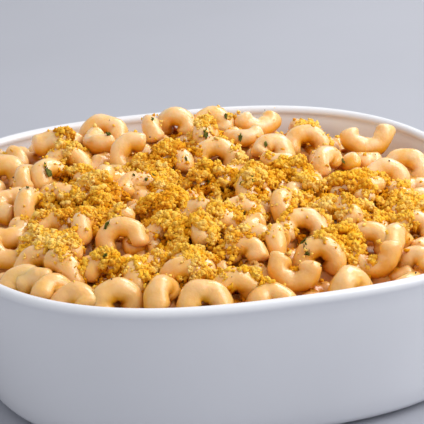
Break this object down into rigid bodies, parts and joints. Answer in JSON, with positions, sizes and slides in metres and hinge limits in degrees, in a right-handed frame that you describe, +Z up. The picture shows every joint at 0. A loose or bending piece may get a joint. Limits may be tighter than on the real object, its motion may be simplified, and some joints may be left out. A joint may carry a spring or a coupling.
{
  "type": "macaroni and cheese in a baking dish",
  "caption": "Rounded-square white glazed baking dish heaped with curled, sauce-coated macaroni under golden breadcrumbs and flecks of parsley.",
  "frame": {"origin": "middle of the dish's underside, at the height of the foot it stands on", "axes": "+X along the dish's longer side, +Y along its shorter side towards the back, +Z up out of the dish"},
  "size_m": [0.247, 0.225, 0.0846],
  "materials": {
    "glaze": "smooth glossy white glaze",
    "pasta": "smooth cooked noodles under a creamy pale orange cheese sauce, softly glossy",
    "sauce": "thick cheese sauce between the noodles",
    "crumbs": "dry, golden, buttered breadcrumbs in rough clumps",
    "parsley": "thin chopped leaf, dark green",
    "pepper": "fine ground pepper"
  },
  "bodies": {
    "root": {"dish": "glaze", "pasta": "pasta"}
  },
  "joints": []
}
